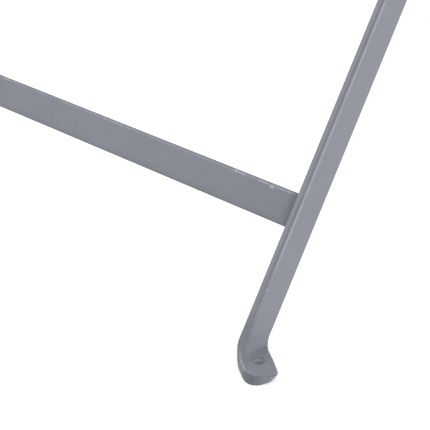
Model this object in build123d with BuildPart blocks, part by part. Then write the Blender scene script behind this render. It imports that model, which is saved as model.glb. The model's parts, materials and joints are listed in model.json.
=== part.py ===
"""Folding steel sawhorse: two leaning leg frames hinged back to back along the top.

Millimetres.  X runs along the top, Y from the front frame (-Y) to the back frame (+Y), +Z is up.
The floor is z = 0 and the sawhorse stands open.
"""
import os
from math import cos, radians, sin, tan

from build123d import *

os.makedirs("parts", exist_ok=True)

# ---- driving dimensions -----------------------------------------------------------------------
LEAN = radians(31)             # lean of each leg frame away from upright
HEIGHT = 870                   # floor to the top of the rails
LEG_OUTSIDE = 305              # centre to the outer face of a leg
LEG_THICK = 10                 # leg bar, 30 x 10
LEG_WIDE = 30
LEG_EDGE = 1.2                 # rounded edges of the rolled bar

BEND_INSIDE = 10               # inside radius where the foot is folded out
FOOT_REACH = 41.3              # end of the foot from the fold corner, along the foot
FOOT_CORNER = 11               # corner radius of the foot's end
FOOT_ASIDE = 2.5               # front edge of the foot, sideways from the fold corner
FOOT_HOLE_X = 20.1             # foot hole from the fold corner
FOOT_HOLE_Y = 10.2
FOOT_HOLE_R = 5

CROSSBAR_TALL = 35             # crossbar, 35 x 6
CROSSBAR_THICK = 6
CROSSBAR_UP = 139.2            # fold corner to the crossbar's lower edge, along the leg

RAIL_SIZE = 40                 # top rail, 40 x 40 x 4 angle
RAIL_THICK = 4
RAIL_HALF = 335
RAIL_ROOT = 4
RAIL_GAP = 0.25                # each rail's web to the middle plane
FIXING_X = 250                 # holes for screwing a board down
FIXING_Y = 22
FIXING_R = 3.5

HINGE_DROP = 49                # top of the rails down to the hinge axis
HINGE_X = 190
HINGE_LONG = 70
LEAF_THICK = 3
LEAF_TOP = 37                  # hinge axis up to the leaf's top edge
PIN_R = 4.2
PIN_PLAY = 0.06
KNUCKLE_GAP = 0.3
RIVET_R = 2.5
RIVET_SPOTS = ((-24, 19), (0, 28), (24, 19))

LEG_GAP = 1.5                  # inner edge of a leg to the hinge axis, square to the leg
STAY_DOWN = 230                # hinge axis to the stay pivots, along the leg
STAY_WIDE = 25                 # stay links, 25 x 4
STAY_THICK = 4
STAY_PIN_R = 4
STAY_PLAY = 0.06
WASHER_THICK = 1.2
FACE_PLAY = 0.1
LINK_GAP = 0.4

WELD = 4                       # leg length of the fillet welds

# ---- what follows from them -------------------------------------------------------------------
HINGE_Z = HEIGHT - HINGE_DROP
UP_LEG = Vector(0, sin(LEAN), cos(LEAN))
IN_LEG = Vector(0, cos(LEAN), -sin(LEAN))       # across the leg, front edge to rear edge
OUT_FOOT = Vector(cos(LEAN), -sin(LEAN), 0)     # along the foot, away from the leg
ACROSS_FOOT = Vector(sin(LEAN), cos(LEAN), 0)
LEG_INSIDE = LEG_OUTSIDE - LEG_THICK
CORNER_Y = -(LEG_WIDE + LEG_GAP + HINGE_Z * sin(LEAN)) / cos(LEAN)
CORNER = Vector(LEG_OUTSIDE, CORNER_Y, 0)       # where the leg's front outer edge would meet the floor
WEB_FACE = RAIL_GAP + RAIL_THICK
BARREL_R = WEB_FACE + LEAF_THICK
BEND_MIDDLE = BEND_INSIDE + LEG_THICK / 2
BEND_Z = LEG_THICK + BEND_INSIDE
STAY_Y = STAY_DOWN * sin(LEAN) + (LEG_GAP + LEG_WIDE / 2) * cos(LEAN)
STAY_Z = HINGE_Z - STAY_DOWN * cos(LEAN) + (LEG_GAP + LEG_WIDE / 2) * sin(LEAN)

FRONT_LINK_OUT = LEG_INSIDE - WASHER_THICK - FACE_PLAY
FRONT_LINK_IN = FRONT_LINK_OUT - STAY_THICK
BACK_LINK_OUT = FRONT_LINK_IN - LINK_GAP
BACK_LINK_IN = BACK_LINK_OUT - STAY_THICK

SIDES = (("right", 1), ("left", -1))
FACES = (("front", -1), ("back", 1))


def save(piece, label):
    """Write one named piece as its own file."""
    piece.part.label = label
    export_step(piece.part, "parts/" + label.replace(" ", "_") + ".step")


def turned(piece, side, face):
    """The front right piece mirrored to another side or face of the sawhorse."""
    shape = piece.part
    if side < 0:
        shape = shape.mirror(Plane.YZ)
    if face > 0:
        shape = shape.mirror(Plane.XZ)
    with BuildPart() as copy:
        add(shape)
    return copy


# ---- leg: rolled flat bar standing on edge, its lower end folded out into a foot ---------------
def leg_section(angle):
    """Level slice of the leg bar, carried round the fold by this angle."""
    middle_y = CORNER_Y + BEND_Z * tan(LEAN) + LEG_WIDE / 2 / cos(LEAN)
    origin = (
        LEG_OUTSIDE + BEND_INSIDE - BEND_MIDDLE * cos(angle),
        middle_y - tan(LEAN) * BEND_MIDDLE * angle,
        BEND_Z - BEND_MIDDLE * sin(angle),
    )
    return Plane(origin=origin, x_dir=(cos(angle), 0, sin(angle)), z_dir=(-sin(angle), 0, cos(angle)))


with BuildPart() as leg:
    with BuildSketch(leg_section(0)):
        RectangleRounded(LEG_THICK, LEG_WIDE / cos(LEAN), LEG_EDGE)
    extrude(amount=HEIGHT / cos(LEAN), dir=UP_LEG)
    for step in range(7):
        with BuildSketch(leg_section(radians(15 * step))):
            RectangleRounded(LEG_THICK, LEG_WIDE / cos(LEAN), LEG_EDGE)
    loft()
    with BuildSketch(leg_section(radians(90))):
        RectangleRounded(LEG_THICK, LEG_WIDE / cos(LEAN), LEG_EDGE)
    extrude(amount=FOOT_REACH + 20, dir=OUT_FOOT)
    # the foot's end: rounded corners
    foot_plane = Plane(origin=CORNER, x_dir=OUT_FOOT, z_dir=(0, 0, 1))
    with BuildSketch(foot_plane):
        with Locations((FOOT_REACH + 20, FOOT_ASIDE + LEG_WIDE / 2)):
            Rectangle(80, LEG_WIDE + 20)
        with Locations((FOOT_REACH - 30, FOOT_ASIDE + LEG_WIDE / 2)):
            RectangleRounded(60, LEG_WIDE, FOOT_CORNER, mode=Mode.SUBTRACT)
    extrude(amount=LEG_THICK, mode=Mode.SUBTRACT)
    # the hole in the foot
    with BuildSketch(Plane(origin=CORNER)):
        with Locations((FOOT_HOLE_X, FOOT_HOLE_Y)):
            Circle(FOOT_HOLE_R)
    extrude(amount=LEG_THICK, mode=Mode.SUBTRACT)
    # the top end, cut to sit inside the top rail
    with BuildSketch(Plane.XY.offset(HINGE_Z - 60)):
        with Locations((LEG_OUTSIDE, 200 - WEB_FACE)):
            Rectangle(60, 400)
    extrude(amount=400, mode=Mode.SUBTRACT)
    with BuildSketch(Plane.XY.offset(HEIGHT - RAIL_THICK)):
        with Locations((LEG_OUTSIDE, 0)):
            Rectangle(60, 800)
    extrude(amount=400, mode=Mode.SUBTRACT)
    # the hole for the stay's rivet
    with BuildSketch(Plane.YZ.offset(LEG_INSIDE)):
        with Locations((-STAY_Y, STAY_Z)):
            Circle(STAY_PIN_R)
    extrude(amount=LEG_THICK, mode=Mode.SUBTRACT)

for side_name, side in SIDES:
    for face_name, face in FACES:
        save(turned(leg, side, face), f"{face_name} {side_name} leg")

# ---- crossbar, welded between the two legs of a frame -------------------------------------------
CROSSBAR_MIDDLE = Vector(0, CORNER_Y, 0) + UP_LEG * (CROSSBAR_UP + CROSSBAR_TALL / 2)
CROSSBAR_MIDDLE = CROSSBAR_MIDDLE + IN_LEG * (LEG_WIDE / 2)
with BuildPart() as crossbar:
    with BuildSketch(Plane(origin=CROSSBAR_MIDDLE, x_dir=IN_LEG, z_dir=(1, 0, 0))):
        RectangleRounded(CROSSBAR_THICK, CROSSBAR_TALL, 1)
    extrude(amount=LEG_INSIDE, both=True)

# ---- top rail: angle bar, web down, flange out ---------------------------------------------------
with BuildPart() as rail:
    with BuildSketch(Plane.YZ) as rail_profile:
        with Locations((-RAIL_GAP - RAIL_SIZE / 2, HEIGHT - RAIL_THICK / 2)):
            Rectangle(RAIL_SIZE, RAIL_THICK)
        with Locations((-RAIL_GAP - RAIL_THICK / 2, HEIGHT - RAIL_SIZE / 2)):
            Rectangle(RAIL_THICK, RAIL_SIZE)
        root = rail_profile.vertices().sort_by_distance((0, -WEB_FACE, HEIGHT - RAIL_THICK))[0]
        fillet(root, RAIL_ROOT)
        toes = [
            rail_profile.vertices().sort_by_distance((0, -RAIL_GAP - RAIL_SIZE, HEIGHT - RAIL_THICK))[0],
            rail_profile.vertices().sort_by_distance((0, -WEB_FACE, HEIGHT - RAIL_SIZE))[0],
        ]
        fillet(toes, 2)
    extrude(amount=RAIL_HALF, both=True)
    with BuildSketch(Plane.XY.offset(HEIGHT - RAIL_THICK)):
        with Locations((-FIXING_X, -FIXING_Y), (FIXING_X, -FIXING_Y)):
            Circle(FIXING_R)
    extrude(amount=RAIL_THICK, mode=Mode.SUBTRACT)
    # the leg's top corner sits in the root, so the root radius is cleared there
    with BuildSketch(Plane.XY.offset(HEIGHT - RAIL_THICK - RAIL_ROOT)):
        for leg_side in (-1, 1):
            with Locations((leg_side * (LEG_OUTSIDE - LEG_THICK / 2), -WEB_FACE - RAIL_ROOT / 2)):
                Rectangle(LEG_THICK, RAIL_ROOT)
    extrude(amount=RAIL_ROOT, mode=Mode.SUBTRACT)
    # rivet holes for the hinge leaves
    with BuildSketch(Plane.XZ.offset(RAIL_GAP)):
        for hinge_x in (-HINGE_X, HINGE_X):
            for along, up in RIVET_SPOTS:
                with Locations((hinge_x + along, HINGE_Z + up)):
                    Circle(RIVET_R)
    extrude(amount=RAIL_THICK, mode=Mode.SUBTRACT)

for face_name, face in FACES:
    save(turned(crossbar, 1, face), f"{face_name} crossbar")
    save(turned(rail, 1, face), f"{face_name} top rail")


# ---- butt hinges: two leaves on one pin ----------------------------------------------------------
def hinge_leaf(hinge_x, own_knuckles, other_knuckles, bore):
    """A leaf lying on the front rail's web, with its knuckles round the hinge axis."""
    with BuildPart() as leaf:
        with BuildSketch(Plane.XZ.offset(WEB_FACE)) as plate:
            with Locations((hinge_x, HINGE_Z + LEAF_TOP / 2)):
                Rectangle(HINGE_LONG, LEAF_TOP)
            for start, end in other_knuckles:
                with Locations((hinge_x + (start + end) / 2, HINGE_Z)):
                    Rectangle(end - start + 2 * KNUCKLE_GAP, 16, mode=Mode.SUBTRACT)
            top = plate.vertices().filter_by(lambda v: v.Z > HINGE_Z + LEAF_TOP - 1)
            fillet(top, 4)
        extrude(amount=LEAF_THICK)
        for start, end in own_knuckles:
            with BuildSketch(Plane.YZ.offset(hinge_x + start)):
                with Locations((0, HINGE_Z)):
                    Circle(BARREL_R)
            extrude(amount=end - start)
        with BuildSketch(Plane.YZ.offset(hinge_x - HINGE_LONG)):
            with Locations((0, HINGE_Z)):
                Circle(bore)
        extrude(amount=2 * HINGE_LONG, mode=Mode.SUBTRACT)
        with BuildSketch(Plane.XZ.offset(WEB_FACE)):
            for along, up in RIVET_SPOTS:
                with Locations((hinge_x + along, HINGE_Z + up)):
                    Circle(RIVET_R)
        extrude(amount=LEAF_THICK, mode=Mode.SUBTRACT)
    return leaf


OUTER_KNUCKLES = ((-HINGE_LONG / 2, -12), (12, HINGE_LONG / 2))
MIDDLE_KNUCKLE = ((-12 + KNUCKLE_GAP, 12 - KNUCKLE_GAP),)
for side_name, side in SIDES:
    hinge_x = side * HINGE_X
    front_leaf = hinge_leaf(hinge_x, OUTER_KNUCKLES, MIDDLE_KNUCKLE, PIN_R)
    save(front_leaf, f"front {side_name} hinge leaf")
    back_leaf = hinge_leaf(hinge_x, MIDDLE_KNUCKLE, OUTER_KNUCKLES, PIN_R + PIN_PLAY)
    save(turned(back_leaf, 1, 1), f"back {side_name} hinge leaf")
    with BuildPart() as pin:
        with BuildSketch(Plane.YZ.offset(hinge_x)):
            with Locations((0, HINGE_Z)):
                Circle(PIN_R)
        extrude(amount=HINGE_LONG / 2, both=True)
        for end in (-1, 1):
            start = hinge_x + end * HINGE_LONG / 2
            with BuildSketch(Plane.YZ.offset(start)):
                with Locations((0, HINGE_Z)):
                    Circle(PIN_R + 1.8)
            with BuildSketch(Plane.YZ.offset(start + end * 2)):
                with Locations((0, HINGE_Z)):
                    Circle(PIN_R + 0.4)
            loft()
    save(pin, f"{side_name} hinge pin")

# ---- rivets that hold the leaves to the webs ------------------------------------------------------
with BuildPart() as leaf_rivets:
    with BuildSketch(Plane.XZ.offset(RAIL_GAP)):
        for hinge_x in (-HINGE_X, HINGE_X):
            for along, up in RIVET_SPOTS:
                with Locations((hinge_x + along, HINGE_Z + up)):
                    Circle(RIVET_R)
    extrude(amount=RAIL_THICK + LEAF_THICK)
    for hinge_x in (-HINGE_X, HINGE_X):
        for along, up in RIVET_SPOTS:
            with BuildSketch(Plane.XZ.offset(BARREL_R)):
                with Locations((hinge_x + along, HINGE_Z + up)):
                    Circle(RIVET_R + 2)
            with BuildSketch(Plane.XZ.offset(BARREL_R + 1.8)):
                with Locations((hinge_x + along, HINGE_Z + up)):
                    Circle(RIVET_R)
            loft()

for face_name, face in FACES:
    save(turned(leaf_rivets, 1, face), f"{face_name} hinge rivets")


# ---- folding stays: two flat links a side, joined by a rivet at the elbow -------------------------
def stay_link(inner_x, toward):
    """A round-ended link from its leg pivot to the elbow in the middle plane."""
    with BuildPart() as link:
        with BuildSketch(Plane.YZ.offset(inner_x)):
            with Locations((toward * STAY_Y / 2, STAY_Z)):
                SlotCenterToCenter(STAY_Y, STAY_WIDE)
            with Locations((toward * STAY_Y, STAY_Z)):
                Circle(STAY_PIN_R + STAY_PLAY, mode=Mode.SUBTRACT)
            with Locations((0, STAY_Z)):
                Circle(STAY_PIN_R, mode=Mode.SUBTRACT)
        extrude(amount=STAY_THICK)
        flats = link.faces().filter_by(Axis.X)
        fillet([edge for flat in flats for edge in flat.outer_wire().edges()], 0.6)
    return link


def leg_rivet(toward, link_in):
    """The rivet through a leg and the link beside it, a head at each end."""
    with BuildPart() as rivet:
        with BuildSketch(Plane.YZ.offset(link_in - FACE_PLAY)):
            with Locations((toward * STAY_Y, STAY_Z)):
                Circle(STAY_PIN_R)
        extrude(amount=LEG_OUTSIDE - link_in + FACE_PLAY)
        for start, way in ((LEG_OUTSIDE, 1), (link_in - FACE_PLAY, -1)):
            with BuildSketch(Plane.YZ.offset(start)):
                with Locations((toward * STAY_Y, STAY_Z)):
                    Circle(STAY_PIN_R + 3)
            with BuildSketch(Plane.YZ.offset(start + way * 1.5)):
                with Locations((toward * STAY_Y, STAY_Z)):
                    Circle(STAY_PIN_R + 2.2)
            with BuildSketch(Plane.YZ.offset(start + way * 2.8)):
                with Locations((toward * STAY_Y, STAY_Z)):
                    Circle(STAY_PIN_R - 1)
            loft()
    return rivet


def ring(toward, start, thick, radius):
    """A washer or a spacer between a leg and its link."""
    with BuildPart() as spacer:
        with BuildSketch(Plane.YZ.offset(start)):
            with Locations((toward * STAY_Y, STAY_Z)):
                Circle(radius)
                Circle(STAY_PIN_R, mode=Mode.SUBTRACT)
        extrude(amount=thick)
    return spacer


front_link = stay_link(FRONT_LINK_IN, -1)
back_link = stay_link(BACK_LINK_IN, 1)
front_rivet = leg_rivet(-1, FRONT_LINK_IN)
back_rivet = leg_rivet(1, BACK_LINK_IN)
front_washer = ring(-1, FRONT_LINK_OUT + FACE_PLAY, WASHER_THICK, 9)
back_spacer = ring(1, BACK_LINK_OUT + FACE_PLAY, LEG_INSIDE - BACK_LINK_OUT - FACE_PLAY, 8)

# the elbow rivet, parted between the two links
with BuildPart() as elbow_shank:
    with BuildSketch(Plane.YZ.offset(FRONT_LINK_IN)):
        with Locations((0, STAY_Z)):
            Circle(STAY_PIN_R)
    extrude(amount=STAY_THICK)
with BuildPart() as elbow_head:
    with BuildSketch(Plane.YZ.offset(BACK_LINK_IN)):
        with Locations((0, STAY_Z)):
            Circle(STAY_PIN_R)
    extrude(amount=STAY_THICK)
    for reach, radius in ((0, STAY_PIN_R + 3), (1.5, STAY_PIN_R + 2.2), (2.8, STAY_PIN_R - 1)):
        with BuildSketch(Plane.YZ.offset(BACK_LINK_IN - reach)):
            with Locations((0, STAY_Z)):
                Circle(radius)
    loft()

for side_name, side in SIDES:
    save(turned(front_link, side, -1), f"{side_name} front stay link")
    save(turned(back_link, side, -1), f"{side_name} back stay link")
    save(turned(front_rivet, side, -1), f"{side_name} front stay rivet")
    save(turned(back_rivet, side, -1), f"{side_name} back stay rivet")
    save(turned(front_washer, side, -1), f"{side_name} stay washer")
    save(turned(back_spacer, side, -1), f"{side_name} stay spacer")
    save(turned(elbow_shank, side, -1), f"{side_name} elbow rivet shank")
    save(turned(elbow_head, side, -1), f"{side_name} elbow rivet head")

# ---- fillet welds ---------------------------------------------------------------------------------
with BuildPart() as crossbar_welds:
    for side in (-1, 1):
        for way in (-1, 1):
            corner = CROSSBAR_MIDDLE + Vector(side * LEG_INSIDE, 0, 0)
            corner = corner + IN_LEG * (way * CROSSBAR_THICK / 2) - UP_LEG * (CROSSBAR_TALL / 2 - 2)
            with BuildSketch(Plane(origin=corner, x_dir=(-side, 0, 0), z_dir=UP_LEG)):
                Polygon((0, 0), (WELD, 0), (0, -side * way * WELD), align=None)
            extrude(amount=CROSSBAR_TALL - 4)
with BuildPart() as rail_welds:
    for side in (-1, 1):
        for face_x, way in ((LEG_INSIDE, -1), (LEG_OUTSIDE, 1)):
            with BuildSketch(Plane.XY.offset(HEIGHT - RAIL_SIZE + 2)):
                with Locations((side * face_x, -WEB_FACE)):
                    Polygon((0, 0), (side * way * WELD, 0), (0, -WELD), align=None)
            extrude(amount=RAIL_SIZE - RAIL_THICK - RAIL_ROOT - 2)

for face_name, face in FACES:
    save(turned(crossbar_welds, 1, face), f"{face_name} crossbar welds")
    save(turned(rail_welds, 1, face), f"{face_name} rail welds")
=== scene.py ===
"""Folding steel sawhorse: the looks of its painted bars, welds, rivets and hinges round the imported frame."""

import json
from collections import namedtuple
from math import cos, exp, pi, radians, sin, sqrt

import bmesh
import bpy
from bpy.props import FloatProperty, FloatVectorProperty, IntProperty, PointerProperty
from mathutils import Matrix, Vector, noise

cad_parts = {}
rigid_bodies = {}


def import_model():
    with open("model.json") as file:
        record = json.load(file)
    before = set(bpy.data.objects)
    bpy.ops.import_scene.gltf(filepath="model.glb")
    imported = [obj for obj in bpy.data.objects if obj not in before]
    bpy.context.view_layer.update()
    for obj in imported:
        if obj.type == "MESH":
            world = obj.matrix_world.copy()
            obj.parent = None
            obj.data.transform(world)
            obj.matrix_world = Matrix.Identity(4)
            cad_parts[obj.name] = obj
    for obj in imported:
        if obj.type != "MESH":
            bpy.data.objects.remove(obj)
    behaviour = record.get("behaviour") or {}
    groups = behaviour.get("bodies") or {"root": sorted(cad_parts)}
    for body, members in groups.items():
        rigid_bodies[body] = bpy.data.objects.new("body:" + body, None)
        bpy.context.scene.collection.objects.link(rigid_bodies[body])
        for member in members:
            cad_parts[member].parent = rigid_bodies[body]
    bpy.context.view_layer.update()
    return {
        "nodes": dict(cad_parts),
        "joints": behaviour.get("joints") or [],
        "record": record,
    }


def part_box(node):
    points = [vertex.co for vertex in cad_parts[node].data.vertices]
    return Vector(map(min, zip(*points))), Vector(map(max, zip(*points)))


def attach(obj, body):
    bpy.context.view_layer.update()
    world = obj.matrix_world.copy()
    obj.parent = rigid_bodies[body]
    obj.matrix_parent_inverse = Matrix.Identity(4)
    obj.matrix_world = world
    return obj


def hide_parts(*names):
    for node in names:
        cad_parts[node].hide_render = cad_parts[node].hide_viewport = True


bl_info = {
    "name": "Folding Sawhorse",
    "version": (1, 0, 0),
    "blender": (4, 5, 0),
    "location": "3D View > Sidebar > Sawhorse",
    "description": "Builds the painted bars, welds and rivets of a folding steel sawhorse on its frame",
    "category": "Object",
}

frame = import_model()

MM = 0.001
SIDES = {"right": 1, "left": -1}
FACES = {"front": -1, "back": 1}
FOLD = next(joint for joint in frame["joints"] if joint["name"] == "fold")
HINGE_Z = FOLD["pos_m"][2]
FOOT_HOLES = next(mount for mount in frame["record"]["mounts"] if mount["name"] == "foot_holes")["dims"]

# the bars' own sizes, which the looks follow
LEAN = radians(31)
LEG_WIDE = 30 * MM
LEG_THICK = 10 * MM
LEG_GAP = 1.5 * MM                  # inner edge of a leg to the hinge axis, square to the leg
BEND_INSIDE = 10 * MM               # inside radius of the fold above the foot
BEND_MIDDLE = BEND_INSIDE + LEG_THICK / 2
BEND_START = LEG_THICK + BEND_INSIDE
FOOT_REACH = 40.8 * MM              # end of the foot from the fold corner
FOOT_THINNING = 2.2 * MM            # lost from the foot's thickness at its end
FOOT_ASIDE = 2.5 * MM               # front side of the foot from the fold corner
CROSSBAR_TALL = 35 * MM
CROSSBAR_THICK = 6 * MM
CROSSBAR_UP = 139.2 * MM            # fold corner to the crossbar's lower edge, along the leg
CREASE_TURN = 1.12                  # turn of the fold at which the folding tool marked it, in radians
CREASE_DEPTH = 0.62 * MM
CREASE_HALF_WIDE = 1.7 * MM
BIG_DENTS, SMALL_DENTS = 85, 190    # dents to the metre
FOOT_WARP = 80                      # skew of the foot's end across its width and thickness, per metre
FINE_STEP = 1.1 * MM                # between rings near and in the fold
TIP_RINGS = 22                      # rings round the foot's end

# the frame's places, on the front right leg
LEG_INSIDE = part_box("front_crossbar")[1].x
LEG_OUTSIDE = LEG_INSIDE + LEG_THICK
LEG_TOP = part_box("front_right_leg")[1]
CORNER_Y = -(LEG_WIDE + LEG_GAP + HINGE_Z * sin(LEAN)) / cos(LEAN)
CORNER = Vector((LEG_OUTSIDE, CORNER_Y, 0))
UP_LEG = Vector((0, sin(LEAN), cos(LEAN)))
IN_LEG = Vector((0, cos(LEAN), -sin(LEAN)))
FOOT_ALONG = (BEND_INSIDE + BEND_START - BEND_MIDDLE * pi / 2) * cos(LEAN)
CROSSBAR_MIDDLE = (
    Vector((0, CORNER_Y, 0)) + UP_LEG * (CROSSBAR_UP + CROSSBAR_TALL / 2) + IN_LEG * (LEG_WIDE / 2))
HOLE_RADIUS = FOOT_HOLES["hole_r_mm"] * MM
HOLE_X = FOOT_HOLES["spacing_x_mm"] * MM / 2
HOLE_Y = -FOOT_HOLES["spacing_y_mm"] * MM / 2
# heights in the foot, and how far past its radius the hole opens there, in millimetres
HOLE_FLARE = (
    (-4, 0.9), (0.0, 0.9), (0.5, 0.35), (1.1, 0.0), (7.3, 0.0), (8.0, 0.35), (8.5, 0.8), (9.0, 1.4),
    (14, 1.8))
HOLE_FACETS = 44

# shares of the paint's colour
CLOUD_DARK = 0.94
CLOUD_LIGHT = 1.03
# lighter share for painted highlights and other painted light, and for scuffed paint
PAINTED_LIGHT_AND_RUB_SHARE = 1.55
# darker shares for painted shade, and for the blotchy grime on the feet's ends
PAINTED_SHADE_AND_DIRT_TINT = (0.40, 0.41, 0.46)

# chips on the crossbar's top edge, from the leg's outer face, in millimetres: (middle, half length)
CROSSBAR_CHIPS = ((-98.5, 6.0), (-66.5, 8.0), (-36.0, 13.0), (-300.0, 12.0), (-463.0, 10.0))
# bigger chips: (middle, depth below the top edge, half length)
CROSSBAR_KNOCKS = ((-54.4, 3.9, 3.6), (-106.5, 2.2, 2.0))

# welds and rivets
BEAD_INSET = 0.42                   # share of a bead's radius that its middle stands off the corner
BEAD_SHORT = 2.5 * MM               # crossbar's edge to the end of its bead
RAIL_BEAD_SHORT = 1 * MM
HINGE_RIVETS = ((-24, 0.0), (0, 1.0), (24, 0.0))    # millimetres along the leaf, share of the way up it
HINGE_RIVET_EDGE = 4.5 * MM
HINGE_HEAD = 4.3 * MM
STAY_HEAD_OUTSIDE = 7.4 * MM
STAY_HEAD_INSIDE = 7.0 * MM
HEAD_CLEAR = 0.1 * MM               # stay's face to the middle of its inner head
DOME_HEIGHT = 0.40                  # height of a rivet head, as a share of its radius

# camera, light and floor
AIM_IN, AIM_UP, AIM_LEFT = 12 * MM, 122.9 * MM, 110.6 * MM    # middle of the view from the fold corner
CAMERA_AWAY = 1.5066
KEY_AWAY = Vector((2.6, -0.35, 1.1))
KEY_AIM_UP = 0.2
KEY_SIZE = 1.8
FLOOR_HALF = 9.0
FLOOR_DROP = 0.0002

SMOOTH_ANGLE = radians(38)


# ---- sizes and colours a user may change -----------------------------------------------------------
class SawhorsePaint(bpy.types.PropertyGroup):
    """The grey paint and the bare metal of the pivots."""

    colour: FloatVectorProperty(
        name="Paint Colour", description="Colour of the satin paint", subtype="COLOR", size=3, min=0, max=1,
        default=(0.178, 0.187, 0.217))
    chip_colour: FloatVectorProperty(
        name="Chip Colour", description="Colour where the paint is knocked off", subtype="COLOR", size=3,
        min=0, max=1, default=(0.41, 0.44, 0.50))
    zinc_colour: FloatVectorProperty(
        name="Zinc Colour", description="Colour of the rivets and pins", subtype="COLOR", size=3,
        min=0, max=1, default=(0.46, 0.47, 0.49))
    roughness: FloatProperty(
        name="Roughness", description="How matt the paint is", subtype="FACTOR", default=0.46, min=0, max=1)
    peel: FloatProperty(
        name="Orange Peel", description="Height of the paint's fine unevenness", unit="LENGTH",
        default=0.00006, min=0, max=0.001)


class SawhorseBars(bpy.types.PropertyGroup):
    """Shapes of the bars that Blender makes afresh."""

    edge: FloatProperty(
        name="Edge Radius", description="Rounding of the rolled bars' edges", unit="LENGTH",
        default=0.0012, min=0.0002, max=0.003)
    step: FloatProperty(
        name="Ring Spacing", description="Distance between rings along a straight bar", unit="LENGTH",
        default=0.012, min=0.002, max=0.05)
    front_tip: FloatProperty(
        name="Front Foot Corner", description="Radius of the foot's front corner", unit="LENGTH",
        default=0.0190, min=0.002, max=0.022)
    rear_tip: FloatProperty(
        name="Rear Foot Corner", description="Radius of the foot's rear corner", unit="LENGTH",
        default=0.0148, min=0.002, max=0.018)
    flare: FloatProperty(
        name="Foot Flare", description="How far the foot's front side swells past the bar", unit="LENGTH",
        default=0.0026, min=0, max=0.005)
    hammered: FloatProperty(
        name="Hammering", description="Depth of the dents in the foot", unit="LENGTH",
        default=0.0003, min=0, max=0.002)


class SawhorseJoints(bpy.types.PropertyGroup):
    """Welds and rivets."""

    bead: FloatProperty(
        name="Weld Bead", description="Radius of a weld bead", unit="LENGTH",
        default=0.0030, min=0.001, max=0.006)
    ripple: FloatProperty(
        name="Ripple Spacing", description="Distance between the ripples of a weld", unit="LENGTH",
        default=0.0016, min=0.0005, max=0.005)
    facets: IntProperty(
        name="Head Facets", description="Facets round a rivet head", default=28, min=8, max=64)


class SawhorseStage(bpy.types.PropertyGroup):
    """Camera, light and floor."""

    azimuth: FloatProperty(
        name="Azimuth", description="Camera direction round the sawhorse", subtype="ANGLE",
        default=radians(48.09))
    elevation: FloatProperty(
        name="Elevation", description="Camera height above level", subtype="ANGLE", default=radians(23.38))
    roll: FloatProperty(
        name="Roll", description="Camera turned about its view", subtype="ANGLE", default=radians(-0.33))
    lens: FloatProperty(
        name="Lens", description="Focal length in millimetres", default=125.75, min=10, max=400)
    floor_colour: FloatVectorProperty(
        name="Floor Colour", description="Colour of the floor", subtype="COLOR", size=3, min=0, max=1,
        default=(0.90, 0.90, 0.90))
    floor_glow: FloatProperty(
        name="Floor Glow", description="How much the lit floor glows of itself", default=0.28, min=0, max=2)
    sky: FloatProperty(
        name="Surround", description="Strength of the even light all round", default=1.10, min=0, max=10)
    key: FloatProperty(
        name="Key Light", description="Power of the large side light", unit="POWER", default=15.0, min=0)


# ---- shader writing --------------------------------------------------------------------------------
class Wire:
    """A number socket that can be written in a sum."""

    def __init__(self, shade, socket):
        self.shade = shade
        self.socket = socket

    def _maths(self, operation, *values):
        return self.shade.add("ShaderNodeMath", {"operation": operation}, values)

    def __add__(self, other):
        return self._maths("ADD", self, other)

    def __radd__(self, other):
        return self._maths("ADD", other, self)

    def __sub__(self, other):
        return self._maths("SUBTRACT", self, other)

    def __rsub__(self, other):
        return self._maths("SUBTRACT", other, self)

    def __mul__(self, other):
        return self._maths("MULTIPLY", self, other)

    def __rmul__(self, other):
        return self._maths("MULTIPLY", other, self)

    def __truediv__(self, other):
        return self._maths("DIVIDE", self, other)

    def __pow__(self, other):
        return self._maths("POWER", self, other)

    def __abs__(self):
        return self._maths("ABSOLUTE", self)

    def most(self, other):
        return self._maths("MAXIMUM", self, other)

    def ramp(self, low, high, start=0.0, end=1.0):
        """Smooth step from start at low to end at high."""
        return self.shade.add(
            "ShaderNodeMapRange", {"interpolation_type": "SMOOTHSTEP"},
            {"Value": self, "From Min": low, "From Max": high, "To Min": start, "To Max": end})


class Shade:
    """Writes one material's nodes."""

    def __init__(self, name):
        self.material = bpy.data.materials.new(name)
        self.material.use_nodes = True
        self.tree = self.material.node_tree
        self.tree.nodes.clear()

    def add(self, kind, settings=None, values=None, out=0):
        """One node with its settings, and values or wires in its sockets; gives one output as a wire."""
        node = self.tree.nodes.new(kind)
        for key, value in (settings or {}).items():
            setattr(node, key, value)
        pairs = values.items() if isinstance(values, dict) else enumerate(values or ())
        for key, value in pairs:
            socket = node.inputs[key]
            if isinstance(value, Wire):
                self.tree.links.new(value.socket, socket)
            else:
                socket.default_value = value
        return Wire(self, node.outputs[out])

    def mix(self, factor, first, second):
        """Colour mix."""
        return self.add(
            "ShaderNodeMix", {"data_type": "RGBA"}, {"Factor": factor, 6: first, 7: second}, out=2)

    def noise(self, where, scale, detail=2.0, roughness=0.5):
        """Soft random pattern with this many features to the metre."""
        return self.add(
            "ShaderNodeTexNoise", None,
            {"Vector": where, "Scale": scale, "Detail": detail, "Roughness": roughness})

    def place(self, scale=(1, 1, 1)):
        """Object coordinates, stretched if asked."""
        where = self.add("ShaderNodeTexCoord", None, None, out=3)
        if scale == (1, 1, 1):
            return where
        return self.add("ShaderNodeMapping", None, {"Vector": where, "Scale": scale})

    def finish(self, values):
        """Principled surface with these values."""
        surface = self.add("ShaderNodeBsdfPrincipled", None, values)
        output = self.tree.nodes.new("ShaderNodeOutputMaterial")
        self.tree.links.new(surface.socket, output.inputs["Surface"])
        return self.material


def paint_settings():
    """The user's paint and metal colours."""
    return bpy.context.scene.sawhorse_paint


LegSpace = namedtuple("LegSpace", ("out", "across", "up", "low", "inwards"))


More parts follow.
